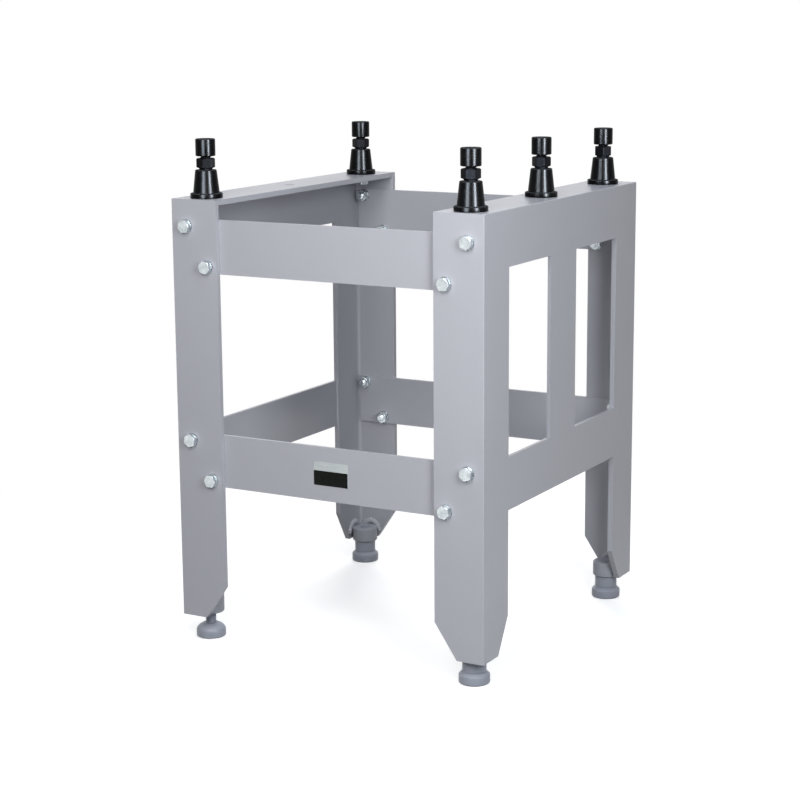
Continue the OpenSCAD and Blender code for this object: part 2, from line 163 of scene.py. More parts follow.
def oxide(name, dark, light, rough, metal, texture, level):
    """Blackened steel, dull and slightly uneven. It also makes the dull copy of the jack black that paints shade
    on the jacks' top faces.
    """
    m, nt, b = shader(name)
    at = place(nt)
    cloud = spread(nt, grain(nt, at, 260.0, 4.0), 0.0, 1.0)
    nt.links.new(blend(nt, cloud, dark, light), b.inputs["Base Color"])
    nt.links.new(spread(nt, grain(nt, at, 420.0, 3.0), *rough), b.inputs["Roughness"])
    b.inputs["Metallic"].default_value = metal
    b.inputs["Specular IOR Level"].default_value = level
    nt.links.new(bump(nt, grain(nt, at, 1500.0, 3.0), texture, 0.0003), b.inputs["Normal"])
    return m


def zinc_plate(name, dark, light, rough=(0.2, 0.34)):
    """Bright zinc with the clear, slightly blue tint of its passivation. The washers take a darker copy, painted
    shade and painted dark reflection.
    """
    m, nt, b = shader(name)
    at = place(nt)
    cloud = spread(nt, grain(nt, at, 130.0, 3.0), 0.0, 1.0)
    nt.links.new(blend(nt, cloud, dark, light), b.inputs["Base Color"])
    nt.links.new(spread(nt, grain(nt, at, 500.0, 3.0), *rough), b.inputs["Roughness"])
    b.inputs["Metallic"].default_value = 1.0
    nt.links.new(bump(nt, grain(nt, at, 1400.0), 0.16, 0.0002), b.inputs["Normal"])
    return m


def foil(name, low, high, band_low, border=0.0003):
    """Printed foil: a black panel, a bare silver band above it and a thin bare border, all in metres."""
    m, nt, b = shader(name)
    at = place(nt)
    xyz = xyz_of(nt, at)

    def inside(value, a, c):
        return maths(nt, maths(nt, value, a, "GREATER_THAN"), maths(nt, value, c, "LESS_THAN"))

    panel = maths(nt, inside(xyz["X"], low[0] + border, high[0] - border),
                  inside(xyz["Z"], low[2] + border, band_low))
    brush = node(nt, "ShaderNodeMapping", {"Vector": at, "Scale": (60.0, 1.0, 2400.0)}).outputs["Vector"]
    lines = grain(nt, brush, 1.0, 3.0)
    silver = blend(nt, spread(nt, lines, 0.0, 1.0), (0.41, 0.45, 0.455), (0.54, 0.575, 0.575))
    cloud = spread(nt, grain(nt, at, 300.0, 3.0), 0.0, 1.0)
    black = blend(nt, cloud, (0.003, 0.004, 0.003), (0.007, 0.009, 0.007))
    nt.links.new(blend(nt, panel, silver, black), b.inputs["Base Color"])
    metal = 0.85
    nt.links.new(maths(nt, maths(nt, panel, -metal), metal, "ADD"), b.inputs["Metallic"])
    b.inputs["Specular IOR Level"].default_value = 0.08
    nt.links.new(spread(nt, lines, 0.3, 0.42), b.inputs["Roughness"])
    nt.links.new(bump(nt, panel, 0.25, 0.00008), b.inputs["Normal"])
    return m


PAINT = enamel("frame_enamel", (0.435, 0.437, 0.475), (0.455, 0.457, 0.495))
# Darker copy of the frame enamel for the bosses, which carry the frame's paint: painted shade for the shaded leg
# corners they sit in.
SHADED_BOSS_PAINT = enamel("boss_enamel_painted_shade", (0.35, 0.362, 0.395), (0.40, 0.412, 0.45), (0.34, 0.46), 0.12, 0.25)
# Darker, bluer copy of the frame enamel for the feet: painted shade under the stand, over a paint only slightly
# darker than the frame's.
SHADED_FOOT_PAINT = enamel("foot_enamel_painted_shade", (0.29, 0.31, 0.365), (0.35, 0.37, 0.43), (0.34, 0.46), 0.16)
BLACK = gloss_black("jack_black_gloss", (0.0012, 0.0012, 0.0015), (0.0025, 0.0026, 0.0031), (0.2, 0.28), 0.04)
# Dull copy of the jack black for the faces that look up: painted shade, keeping them dark where the gloss would
# mirror the bright surroundings.
SHADED_TOP_BLACK = oxide("jack_black_painted_shade_tops", (0.018, 0.019, 0.021), (0.035, 0.036, 0.039), (0.7, 0.85), 0.0, 0.2, 0.02)
NUT_BLACK = oxide("lock_nut_oxide", (0.002, 0.002, 0.003), (0.006, 0.006, 0.008), (0.32, 0.45), 0.0, 0.2, 0.04)
SCREW_BLACK = oxide("screw_oxide", (0.012, 0.012, 0.014), (0.035, 0.035, 0.038), (0.3, 0.45), 0.8, 0.15, 0.5)
ZINC = zinc_plate("zinc_plate", (0.52, 0.57, 0.59), (0.74, 0.79, 0.82))
# Darker copy of the zinc for the washers: painted shade and painted reflection of dark surroundings, the dark
# rings around bolt heads and nuts.
SHADED_WASHER_ZINC = zinc_plate("washer_zinc_painted_shade", (0.26, 0.29, 0.31), (0.42, 0.46, 0.49))


# Shapes, drawn in millimetres with their axis along Z. Outlines of turned pieces are given as
# radius, height and, where a corner is eased, the radius of its arc.

LOOKS_UP = 0.6


class Shape:
    def __init__(self):
        self.v, self.f = [], []

    def add(self, verts, faces, matrix=None):
        n = len(self.v)
        self.v += [tuple(matrix @ Vector(p)) if matrix else tuple(p) for p in verts]
        self.f += [tuple(i + n for i in f) for f in faces]
        return self


def piece(name, shape, body, material, replaced=(), sharp=32.0, shaded_top=None):
    """One visible piece on its body. A second material, if given, takes the faces that look up: a dull copy of the
    finish that paints shade on top faces, where the gloss would mirror bright surroundings.
    """
    me = bpy.data.meshes.new(name)
    me.from_pydata([(x * MM, y * MM, z * MM) for x, y, z in shape.v], [], shape.f)
    bm = bmesh.new()
    bm.from_mesh(me)
    bmesh.ops.remove_doubles(bm, verts=bm.verts, dist=1e-6)
    bmesh.ops.recalc_face_normals(bm, faces=bm.faces)
    bm.to_mesh(me)
    bm.free()
    me.shade_smooth()
    me.set_sharp_from_angle(angle=math.radians(sharp))
    me.materials.append(material)
    if shaded_top:
        me.materials.append(shaded_top)
        for f in me.polygons:
            f.material_index = 1 if f.normal.z > LOOKS_UP else 0
    ob = bpy.data.objects.new(name, me)
    bpy.context.scene.collection.objects.link(ob)
    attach(ob, body)
    if replaced:
        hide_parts(*replaced)
    return ob


def ring_faces(a, b, count):
    """Quads between two rings of corners that start at a and b."""
    return [(a + i, a + (i + 1) % count, b + (i + 1) % count, b + i) for i in range(count)]


def rounded(points, steps=5):
    """An outline of (x, y) or (x, y, radius) points, with an arc at each corner that has a radius."""
    out = []
    for i, p in enumerate(points):
        if len(p) < 3 or i in (0, len(points) - 1):
            out.append((p[0], p[1]))
            continue
        r = p[2]
        a, b, c = Vector(points[i - 1][:2]), Vector(p[:2]), Vector(points[i + 1][:2])
        u, w = (a - b).normalized(), (c - b).normalized()
        half = math.acos(max(-1.0, min(1.0, u.dot(w)))) / 2
        reach = r / math.tan(half)
        centre = b + (u + w).normalized() * (r / math.sin(half))
        s, e = b + u * reach - centre, b + w * reach - centre
        turn = math.atan2(s.x * e.y - s.y * e.x, s.dot(e))
        for k in range(steps + 1):
            t = turn * k / steps
            out.append((centre.x + s.x * math.cos(t) - s.y * math.sin(t),
                        centre.y + s.x * math.sin(t) + s.y * math.cos(t)))
    return out


def circle(r, z, count):
    return [(r * math.cos(2 * math.pi * i / count), r * math.sin(2 * math.pi * i / count), z)
            for i in range(count)]


def lathe(outline, count=96):
    """Turned body from an outline of (radius, height)."""
    verts, faces, rings = [], [], []
    for r, z in outline:
        on_axis = r < 1e-6
        rings.append((len(verts), on_axis))
        verts += [(0, 0, z)] if on_axis else circle(r, z, count)
    for (a, a_tip), (b, b_tip) in zip(rings, rings[1:]):
        for i in range(count):
            j = (i + 1) % count
            if a_tip and not b_tip:
                faces.append((a, b + i, b + j))
            elif b_tip and not a_tip:
                faces.append((a + i, b, a + j))
            elif not a_tip:
                faces.append((a + i, b + i, b + j, a + j))
    return verts, faces


ROOT_SHARE, RISE_SHARE, CREST_SHARE, DEPTH_SHARE = 0.22, 0.54, 0.68, 0.61


def thread_radius(major, pitch, turn_share, z):
    """Radius of a right-hand thread at a share of a turn and a height."""
    minor = major - DEPTH_SHARE * pitch
    u = (z / pitch - turn_share) % 1.0
    if u < ROOT_SHARE:
        return minor
    if u < RISE_SHARE:
        return minor + (major - minor) * (u - ROOT_SHARE) / (RISE_SHARE - ROOT_SHARE)
    if u < CREST_SHARE:
        return major
    return major - (major - minor) * (u - CREST_SHARE) / (1.0 - CREST_SHARE)


def threaded(major, pitch, z0, z1, bevel=1.0, count=48, rows=8):
    """Round bar from z0 to z1 with a thread and a bevelled upper end."""
    steps = max(2, int((z1 - z0) / pitch * rows))
    verts, faces = [], []
    for k in range(steps + 1):
        z = z0 + (z1 - z0) * k / steps
        for i in range(count):
            a = 2 * math.pi * i / count
            r = min(thread_radius(major, pitch, i / count, z), major - max(0.0, z - (z1 - bevel)))
            verts.append((r * math.cos(a), r * math.sin(a), z))
    for k in range(steps):
        faces += ring_faces(k * count, (k + 1) * count, count)
    verts += [(0, 0, z0), (0, 0, z1)]
    low, high, top = len(verts) - 2, len(verts) - 1, steps * count
    for i in range(count):
        j = (i + 1) % count
        faces.append((low, j, i))
        faces.append((high, top + i, top + j))
    return verts, faces


BEVEL_SHARE = 0.985
BORE_BEVEL_W, BORE_BEVEL_H = 0.7, 0.6
DISH_OUT, DISH_IN, DISH_DEEP = 1.2, 1.8, 0.15


def hex_foot(flats, radii, drop, bevel_r, bore, both, seat):
    """Rings of a hexagon's lower side, from its middle out, each a list of (radius, height)."""
    count = len(radii)
    rings = [[(bore, BORE_BEVEL_H if both and bore else 0.0)] * count]
    if bore and both:
        rings.append([(bore + BORE_BEVEL_W, 0.0)] * count)
    if seat:
        seat_r, seat_h, rise = seat
        wide = flats / math.sqrt(3) - seat_r
        rings += [[(seat_r, 0.0)] * count, [(seat_r, seat_h)] * count]
        rings.append([(r, seat_h + rise * (r - seat_r) / wide) for r in radii])
    elif both:
        rings += [[(bevel_r, 0.0)] * count, list(zip(radii, drop))]
    else:
        rings.append([(r, 0.0) for r in radii])
    return rings


def hex_top(height, radii, drop, bevel_r, bore):
    """Rings of a hexagon's upper side, from its edge in."""
    count = len(radii)
    rings = [[(r, height - d) for r, d in zip(radii, drop)], [(bevel_r, height)] * count]
    if bore:
        inner = [(bore + BORE_BEVEL_W, height), (bore, height - BORE_BEVEL_H)]
    else:
        dish_z = height - DISH_DEEP
        inner = [(bevel_r - DISH_OUT, height), (bevel_r - DISH_IN, dish_z), (0.0, dish_z)]
    return rings + [[p] * count for p in inner]


def hexagon(flats, height, bore=0.0, both=False, per_side=10, slope=30.0, edge=0.35, seat=None):
    """Six-sided body from z = 0 up, a corner towards X, with the cone bevel of a turned bolt head or nut."""
    count = 6 * per_side
    bevel_r = flats / 2 * BEVEL_SHARE
    fall = math.tan(math.radians(slope))
    angles = [2 * math.pi * i / count for i in range(count)]
    corner = flats / math.sqrt(3) - edge
    radii = [min(flats / 2 / math.cos(a % (math.pi / 3) - math.pi / 6), corner) for a in angles]
    drop = [max(0.0, r - bevel_r) * fall for r in radii]
    rings = hex_foot(flats, radii, drop, bevel_r, bore, both, seat)
    rings += hex_top(height, radii, drop, bevel_r, bore)
    verts, faces = [], []
    for ring in rings:
        verts += [(r * math.cos(a), r * math.sin(a), z) for (r, z), a in zip(ring, angles)]
    total = len(rings)
    for k in range(total if bore else total - 1):
        faces += ring_faces(k * count, ((k + 1) % total) * count, count)
    return verts, faces


def tidy_faces(shape):
    """Drops the corners that a ring closed to a point has left on one another."""
    out = []
    for f in shape.f:
        seen = []
        for i in f:
            p = tuple(round(c, 6) for c in shape.v[i])
            if p not in [q for q, _ in seen]:
                seen.append((p, i))
        if len(seen) > 2:
            out.append(tuple(i for _, i in seen))
    shape.f = out
    return shape


# Sizes and places, read from the frame's own solids in millimetres

def box_of(name):
    return [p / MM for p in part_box(name)]


def middle(points):
    lo = Vector([min(p[i] for p in points) for i in range(3)])
    hi = Vector([max(p[i] for p in points) for i in range(3)])
    return (lo + hi) / 2, lo, hi


def linked_group(start, left):
    """Corners of one solid, taken out of the set that is left."""
    stack, group = [start], []
    while stack:
        v = stack.pop()
        group.append(v.co.copy() / MM)
        for e in v.link_edges:
            w = e.other_vert(v)
            if w in left:
                left.discard(w)
                stack.append(w)
    return group


def solids_of(name):
    """The solids of a node as lists of corners, both sorted, since a set gives them in another order each run."""
    bm = bmesh.new()
    bm.from_mesh(nodes[name].data)
    bmesh.ops.remove_doubles(bm, verts=bm.verts, dist=1e-7)
    left, found = set(bm.verts), []
    while left:
        found.append(sorted(linked_group(left.pop(), left), key=tuple))
    bm.free()

    def order(group):
        low = middle(group)[1]
        return round(low.y), round(low.x), low.z

    return sorted(found, key=order)


def rings_of(name):
    """Radius and height of each circle of a turned solid, from its own foot up."""
    c, lo, hi = middle(box_of(name))
    found = {(round(math.hypot(v.co.x / MM - c.x, v.co.y / MM - c.y), 2), round(v.co.z / MM - lo.z, 2))
             for v in nodes[name].data.vertices}
    return c, lo.z, sorted(found, key=lambda p: p[1])


def into_stand(points, start):
    """Frame with its Z axis along a rail bolt, from the head to the tip, turned as the solid's hexagon is."""
    c = middle(points)[0]
    front = c.y < 0
    x, z = Vector((1, 0, 0)), Vector((0, 1 if front else -1, 0))
    y = z.cross(x)
    origin = Vector((c.x, start if front else -start, c.z))
    far = max(points, key=lambda p: (p.x - c.x) ** 2 + (p.z - c.z) ** 2)
    turn = math.atan2((far - origin).dot(y), (far - origin).dot(x))
    basis = Matrix((x, y, z)).transposed().to_4x4()
    return Matrix.Translation(origin) @ basis @ Matrix.Rotation(turn, 4, "Z")


def outer_y(c, lo, hi):
    """Depth of a solid's outer and inner end, counted as on the front side of the stand."""
    return (lo.y, hi.y) if c.y < 0 else (-hi.y, -lo.y)


def turned_at(c, z):
    return Matrix.Translation((c.x, c.y, z))


FRONT = box_of("left_front_leg")[0].y
HALF_W = box_of("right_front_leg")[1].x
TOP = box_of("right_top_angle")[1].z
STEEL = box_of("front_upper_rail")[0].y - FRONT
FLAT = box_of("right_lower_rail")[1].x - box_of("right_lower_rail")[0].x
THREAD_R = (box_of("left_front_foot_screw")[1].x - box_of("left_front_foot_screw")[0].x) / 2
PLAY = 0.1


# Rail fasteners and the bolts under the jacks

RAIL_FLATS, RAIL_R, RAIL_PITCH, RAIL_THREAD = 17.0, 5.0, 1.5, 9.0
WASHER_R, WASHER_BORE, WASHER_T = 10.0, 5.3, 2.0
JACK_BOLT_FLATS, JACK_BOLT_R = 21.0, 7.0
FLIP = Matrix.Rotation(math.pi, 4, "X")


def rail_bolt(shape, group):
    out, tip = outer_y(*middle(group))
    seat = FRONT - WASHER_T
    to = into_stand(group, seat)
    shape.add(*hexagon(RAIL_FLATS, seat - out, per_side=8), to @ FLIP)
    length = tip - seat
    thread_z = length - RAIL_THREAD
    shape.add(*lathe([(0, 0), (RAIL_R, 0), (RAIL_R, thread_z)], 32), to)
    shape.add(*threaded(RAIL_R, RAIL_PITCH, thread_z, length, 1.1, 32), to)


def rail_nut(shape, group):
    out, inner = outer_y(*middle(group))
    body = hexagon(RAIL_FLATS, inner - out, bore=RAIL_R + 0.05, both=True, per_side=8)
    shape.add(*body, into_stand(group, out))


def washer(shape, group):
    out, inner = outer_y(*middle(group))
    t, bore = inner - out, WASHER_BORE
    outline = rounded([(bore, 0.01), (bore, 0.0), (WASHER_R, 0.0, 0.25), (WASHER_R, t, 0.6), (bore, t, 0.3),
                       (bore, 0.01)], steps=4)
    shape.add(*lathe(outline, 56), into_stand(group, out))


def jack_bolt(shape, group):
    c, lo, hi = middle(group)
    under = TOP - STEEL
    length = hi.z - under
    to = turned_at(c, under)
    shape.add(*hexagon(JACK_BOLT_FLATS, under - lo.z), to @ FLIP)
    shape.add(*lathe([(0, 0), (JACK_BOLT_R, 0), (JACK_BOLT_R, length - 1), (JACK_BOLT_R - 1, length), (0, length)],
                     40), to)


def fasteners(name, node_name, draw, material):
    shape = Shape()
    for group in solids_of(node_name):
        draw(shape, group)
    piece(name, tidy_faces(shape), "frame", material, [node_name])


fasteners("rail_bolt_set", "rail_bolts", rail_bolt, ZINC)
fasteners("rail_nut_set", "rail_nuts", rail_nut, ZINC)
fasteners("bolt_washers_set", "bolt_washers", washer, SHADED_WASHER_ZINC)
fasteners("nut_washers_set", "nut_washers", washer, SHADED_WASHER_ZINC)
fasteners("jack_bolt_set", "jack_bolts", jack_bolt, ZINC)


# Jacks

JACK_BORE, BASE_BORE_DEPTH, CAP_SOCKET = 8.1, 23.4, 12.0
BASE_TOP_BEVEL = 1.1
NUT_SEAT = (9.5, 2.0, 2.0)
SCREW_PITCH = 2.0
SCREW_HIDDEN, SCREW_PLAIN = 20.0, 9.0


def jack_base(key):
    c, z, rings = rings_of(key + "_jack_base")
    rim_r, h = max(r for r, _ in rings), rings[-1][1]
    rim_h = max(z for r, z in rings if r > 0.9 * rim_r)
    low_r = max(r for r, z in rings if z == rim_h and r < 0.9 * rim_r)
    top_r = max(r for r, z in rings if h - BASE_TOP_BEVEL < z < h)
    bore_z = h - BASE_BORE_DEPTH
    outline = rounded([
        (0.0, 0.0), (rim_r - 0.6, 0.0, 0.4), (rim_r, 0.6, 0.4), (rim_r, rim_h - 0.7, 0.7),
        (rim_r - 1.2, rim_h, 0.6), (low_r + 0.5, rim_h, 1.0), (low_r, rim_h + 0.4, 0.5),
        (top_r, h - BASE_TOP_BEVEL, 0.8), (top_r - 1.0, h, 0.5),
        (JACK_BORE + 1.3, h, 0.3), (JACK_BORE, h - 1.2, 0.3), (JACK_BORE, bore_z), (0.0, bore_z)], steps=4)
    shape = Shape().add(*lathe(outline, 112), turned_at(c, z))
    # Its faces that look up take the dull copy of the black, as painted shade.
    piece(key + "_jack_base_turned", shape, "frame", BLACK, [key + "_jack_base"], shaded_top=SHADED_TOP_BLACK)


def jack_cap(key):
    c, z, rings = rings_of(key + "_jack_cap")
    r, h = max(r for r, _ in rings), rings[-1][1]
    outline = rounded([
        (0.0, CAP_SOCKET), (JACK_BORE, CAP_SOCKET), (JACK_BORE, 0.8, 0.3), (JACK_BORE + 0.8, 0.0, 0.3),
        (r - 0.9, 0.0, 0.5), (r, 0.9, 0.5), (r, h - 1.1, 0.5), (r - 1.0, h, 0.4), (6.0, h), (0.0, h)], steps=4)
    shape = Shape().add(*lathe(outline), turned_at(c, z))
    # Its faces that look up take the dull copy of the black, as painted shade.
    piece(key + "_jack_cap_turned", shape, key + "_jack_cap", BLACK, [key + "_jack_cap"],
          shaded_top=SHADED_TOP_BLACK)


def jack_nut(key):
    name = key + "_jack_nut"
    _, z, rings = rings_of(name)
    h = rings[-1][1]
    axis = middle(box_of(key + "_jack_base"))[0]
    arms = [(v.co.x / MM - axis.x, v.co.y / MM - axis.y) for v in nodes[name].data.vertices]
    far = max(arms, key=lambda p: p[0] ** 2 + p[1] ** 2)
    turn = math.atan2(far[1], far[0])
    flats = 2 * math.hypot(*far) * math.cos(math.pi / 6)
    body = hexagon(flats, h, bore=JACK_BORE, both=True, slope=33.0, edge=0.25, seat=NUT_SEAT)
    shape = Shape().add(*body, turned_at(axis, z) @ Matrix.Rotation(turn, 4, "Z"))
    piece(name + "_hexagon", tidy_faces(shape), name, NUT_BLACK, [name])


def jack_screw(key):
    """Plain where the base and the cap hold it, threaded between them."""
    c, lo, hi = middle(box_of(key + "_jack_screw"))
    low, high, r = lo.z, hi.z, (hi.x - lo.x) / 2
    cut_a, cut_b, slim = low + SCREW_HIDDEN, high - SCREW_PLAIN, r - 0.4
    to = turned_at(c, 0)
    shape = Shape().add(*lathe([(0, low), (r - 1.0, low), (r, low + 1.0), (r, cut_a), (0, cut_a)], 48), to)
    shape.add(*threaded(r - 0.02, SCREW_PITCH, cut_a, cut_b, 0.0), to)
    shape.add(*lathe([(0, cut_b), (slim, cut_b), (slim, high - 1.0), (slim - 0.8, high), (0, high)], 48), to)
    piece(key + "_jack_screw_thread", shape, key + "_jack_screw", SCREW_BLACK, [key + "_jack_screw"])


for key in JACKS:
    jack_base(key)
    jack_cap(key)
    jack_nut(key)
    jack_screw(key)


# Feet and their bosses

SOCKET_R = THREAD_R + PLAY
SLIM_SOCKET, WIDE_SOCKET = 10.5, 8.5
DOME_STEPS = 20


def domed_pad(r, rim_h, top_r, h):
    span = math.acos(top_r / r)
    dome_h = (h - rim_h) / math.sin(span)
    outline = [(0.0, 0.0), (r - 1.6, 0.0, 1.0), (r, 1.5, 1.2), (r, rim_h - 0.5)]
    for i in range(1, DOME_STEPS):
        a = span * i / DOME_STEPS
        outline.append((r * math.cos(a), rim_h + dome_h * math.sin(a)))
    return outline + [(top_r, h, 0.3), (SOCKET_R + 0.4, h), (SOCKET_R, h - 0.4), (SOCKET_R, h - SLIM_SOCKET),
                      (0.0, h - SLIM_SOCKET)]


def wide_pad(r, rim_h, top_r, h):
    return [(0.0, 0.0), (r - 1.6, 0.0, 1.0), (r, 1.6, 1.2), (r, rim_h - 0.2, 1.2), (top_r + 0.6, h - 0.4, 1.0),
            (top_r - 0.4, h, 0.3), (SOCKET_R, h), (SOCKET_R, h - WIDE_SOCKET), (0.0, h - WIDE_SOCKET)]


def foot_pad(key):
    """The pad. Gives back the place of its axis and its height, for the screw and the boss above it."""
    c, _, rings = rings_of(key + "_foot_pad")
    r, h = max(r for r, _ in rings), rings[-1][1]
    rim_h = max(z for q, z in rings if q > r - 0.01)
    top_r = max(q for q, z in rings if z == h)
    outline = (domed_pad if key == SLIM_FOOT else wide_pad)(r, rim_h, top_r, h)
    pad = Shape().add(*lathe(rounded(outline, steps=4)), turned_at(c, 0))
    piece(key + "_foot_pad_turned", pad, key + "_foot_pad", SHADED_FOOT_PAINT, [key + "_foot_pad"])
    return c, h


def foot_screw(key, c, pad_h):
    """The slim screw is all thread. The others have a spigot in the pad and a wide shoulder under the boss."""
    lo, hi = box_of(key + "_foot_screw")
    boss_z = box_of(key + "_boss")[0].z
    at, thread_r = turned_at(c, 0), THREAD_R - 0.02
    screw = Shape()
    if key == SLIM_FOOT:
        screw.add(*threaded(thread_r, SCREW_PITCH, lo.z, hi.z), at)
    else:
        wide, seat = (hi.x - lo.x) / 2, pad_h + PLAY
        screw.add(*lathe([(0, lo.z), (THREAD_R - 0.4, lo.z), (THREAD_R, lo.z + 0.4), (THREAD_R, seat), (0, seat)],
                         48), at)
        screw.add(*lathe(rounded([
            (0.0, seat), (wide - 0.6, seat, 0.4), (wide, seat + 0.6, 0.4), (wide, boss_z - 0.7, 0.4),
            (wide - 0.6, boss_z, 0.3), (0.0, boss_z)], steps=4)), at)
        screw.add(*threaded(thread_r, SCREW_PITCH, boss_z, hi.z), at)
    piece(key + "_foot_screw_thread", screw, key + "_foot_screw", SHADED_FOOT_PAINT, [key + "_foot_screw"])


def foot_boss(key, c):
    lo, hi = box_of(key + "_boss")
    h, r, bore = hi.z - lo.z, min(c.x - lo.x, hi.x - c.x), SOCKET_R
    boss = Shape().add(*lathe(rounded([
        (bore, 1.0), (bore + 1.2, 0.0, 0.3), (r - 1.5, 0.0, 0.6), (r, 1.6, 0.8), (r, h - 1.4, 0.8),
        (r - 1.3, h, 0.5), (bore + 1.2, h, 0.3), (bore, h - 1.0), (bore, 1.0)], steps=4)), turned_at(c, lo.z))
    piece(key + "_boss_turned", boss, "frame", SHADED_BOSS_PAINT, [key + "_boss"])


for key in FEET:
    axis, pad_h = foot_pad(key)
    foot_screw(key, axis, pad_h)
    foot_boss(key, axis)


# Weld beads: a rippled round seam along a path, half sunk in the corner that it fills

BEAD_STEP = 0.65
BEAD_CORNERS = 12
BEAD_TAPER = 4.0


def even_points(path):
    """Points along a path about one step apart, and how far along each one lies."""
    points = []
    for a, b in zip(path, path[1:]):
        a, b = Vector(a), Vector(b)
        n = max(1, int((b - a).length / BEAD_STEP))
        points += [a.lerp(b, k / n) for k in range(n)]
    points.append(Vector(path[-1]))
    along = [0.0]
    for a, b in zip(points, points[1:]):
        along.append(along[-1] + (b - a).length)
    return points, along


def bead_radius(radius, p, s, total, ripple, depth):
    """Radius at s along the seam, with its ripples, its unevenness and its round ends."""
    wave = (s / ripple) % 1.0
    uneven = 0.05 * math.sin(s * 0.9 + p.x * 0.3) + 0.04 * math.sin(s * 2.3 + p.z)
    r = radius * (1 - depth * wave * wave + uneven)
    ends = min(1.0, (min(s, total - s) + 0.4) / BEAD_TAPER)
    return r * math.sqrt(max(0.02, 1 - (1 - ends) ** 2))


def bead(shape, path, radius, ripple=2.6, depth=0.16):
    points, along = even_points(path)
    last, count = len(points) - 1, BEAD_CORNERS
    verts, faces, side = [], [], None
    for k, p in enumerate(points):
        d = (points[min(k + 1, last)] - points[max(k - 1, 0)]).normalized()
        if side is None:
            side = d.orthogonal().normalized()
        side = (side - d * side.dot(d)).normalized()
        up = d.cross(side)
        r = bead_radius(radius, p, along[k], along[-1], ripple, depth)
        for i in range(count):
            a = 2 * math.pi * i / count
            verts.append(tuple(p + (side * math.cos(a) + up * math.sin(a)) * r))
    for k in range(last):
        faces += ring_faces(k * count, (k + 1) * count, count)
    faces += [tuple(range(count)), tuple(reversed(range(last * count, (last + 1) * count)))]
    shape.add(verts, faces)


FLANGE_SEAM_R, RAIL_SEAM_R, POST_SEAM_R, ARCH_R = 3.0, 2.3, 2.2, 5.0
FLANGE_SEAM_END = 73.0
ARCH_HALF, ARCH_START_SHARE, ARCH_OVER, ARCH_STEPS, ARCH_SUNK = 15.5, 0.4, 7.0, 16, 0.5

top_lo = box_of("right_top_angle")[0]
rail_lo, rail_hi = box_of("right_lower_rail")
post_lo, post_hi = box_of("right_middle_post")
leg_depth = rail_lo.y - top_lo.y


def side_welds(side_name, sx):
    """Each leg's flange to the underside of the top flange, and the lower rail to each leg."""
    seams = Shape()
    z, x_rail = TOP - STEEL, sx * (HALF_W - FLAT - 0.6)
    for sy in ENDS.values():
        y_face = sy * -FRONT
        y_in, y_leg = y_face - sy * STEEL, y_face - sy * (leg_depth - 0.2)
        bead(seams, [(sx * (HALF_W - STEEL - 4.0), y_in, z), (sx * (HALF_W - FLANGE_SEAM_END), y_in, z)],
             FLANGE_SEAM_R)
        bead(seams, [(x_rail, y_leg, rail_lo.z + 1.0), (x_rail, y_leg, rail_hi.z - 1.0)], RAIL_SEAM_R)
    piece(side_name + "_frame_welds", seams, "frame", PAINT, sharp=50.0)


def post_welds():
    """The post to the top angle and to the lower rail."""
    seams = Shape()
    x = HALF_W - FLAT - 0.8
    for z in (top_lo.z, rail_hi.z):
        bead(seams, [(x, post_lo.y + 1.0, z), (x, post_hi.y - 1.0, z)], POST_SEAM_R)
    piece("right_post_welds", seams, "frame", PAINT, sharp=50.0)


def boss_welds(key):
    """An arch over the boss on each flange: up one side, over the top and down the other."""
    side_name, end_name = key.split("_")
    sx, sy = SIDES[side_name], ENDS[end_name]
    b_lo, b_hi = box_of(key + "_boss")
    c = middle(box_of(key + "_foot_pad"))[0]
    low, high = b_lo.z + 3.0, b_hi.z - 1.0
    foot_z = low + (high - low) * ARCH_START_SHARE
    rise = (high - low) * (1 - ARCH_START_SHARE) + ARCH_OVER
    x_weld, y_weld = sx * (HALF_W - STEEL + ARCH_SUNK), sy * (-FRONT - STEEL + ARCH_SUNK)
    turns = [math.pi * k / ARCH_STEPS for k in range(ARCH_STEPS + 1)]
    arc = [(-ARCH_HALF * math.cos(t), foot_z + rise * math.sin(t)) for t in turns]
    seams = Shape()
    for path in ([(x_weld, c.y + off, z) for off, z in arc], [(c.x + off, y_weld, z) for off, z in arc]):
        bead(seams, path, ARCH_R, ripple=5.0, depth=0.12)
    piece(key + "_boss_welds", seams, "frame", PAINT, sharp=50.0)


for side_name, sx in SIDES.items():
    side_welds(side_name, sx)
post_welds()
for key in FEET:
    boss_welds(key)


# Name plate: thin foil with round corners, left blank

BAND_H = 12.4
FOIL_CORNER, FOIL_EASE, FOIL_RISE = 1.2, 0.22, 0.1


def name_plate():
    lo, hi = box_of("name_plate")
    skin = foil("name_foil_print", [c * MM for c in lo], [c * MM for c in hi], (hi.z - BAND_H) * MM)
    start = (lo.x + 3, lo.z)
    outline = rounded([start, (hi.x, lo.z, FOIL_CORNER), (hi.x, hi.z, FOIL_CORNER), (lo.x, hi.z, FOIL_CORNER),
                       (lo.x, lo.z, FOIL_CORNER), start], steps=6)[:-1]
    count = len(outline)
    mid_x, mid_z = (lo.x + hi.x) / 2, (lo.z + hi.z) / 2
    verts = [(x, hi.y, z) for x, z in outline] + [(x, lo.y + FOIL_RISE, z) for x, z in outline]
    verts += [(x + math.copysign(FOIL_EASE, mid_x - x), lo.y, z + math.copysign(FOIL_EASE, mid_z - z))
              for x, z in outline]
    faces = ring_faces(0, count, count) + ring_faces(count, 2 * count, count)
    faces += [tuple(range(2 * count, 3 * count)), tuple(reversed(range(count)))]
    piece("name_plate_foil", Shape().add(verts, faces), "frame", skin, ["name_plate"], sharp=20.0)


name_plate()


# The welded steel keeps its own solids, with its paint on and the cross rails' edges eased

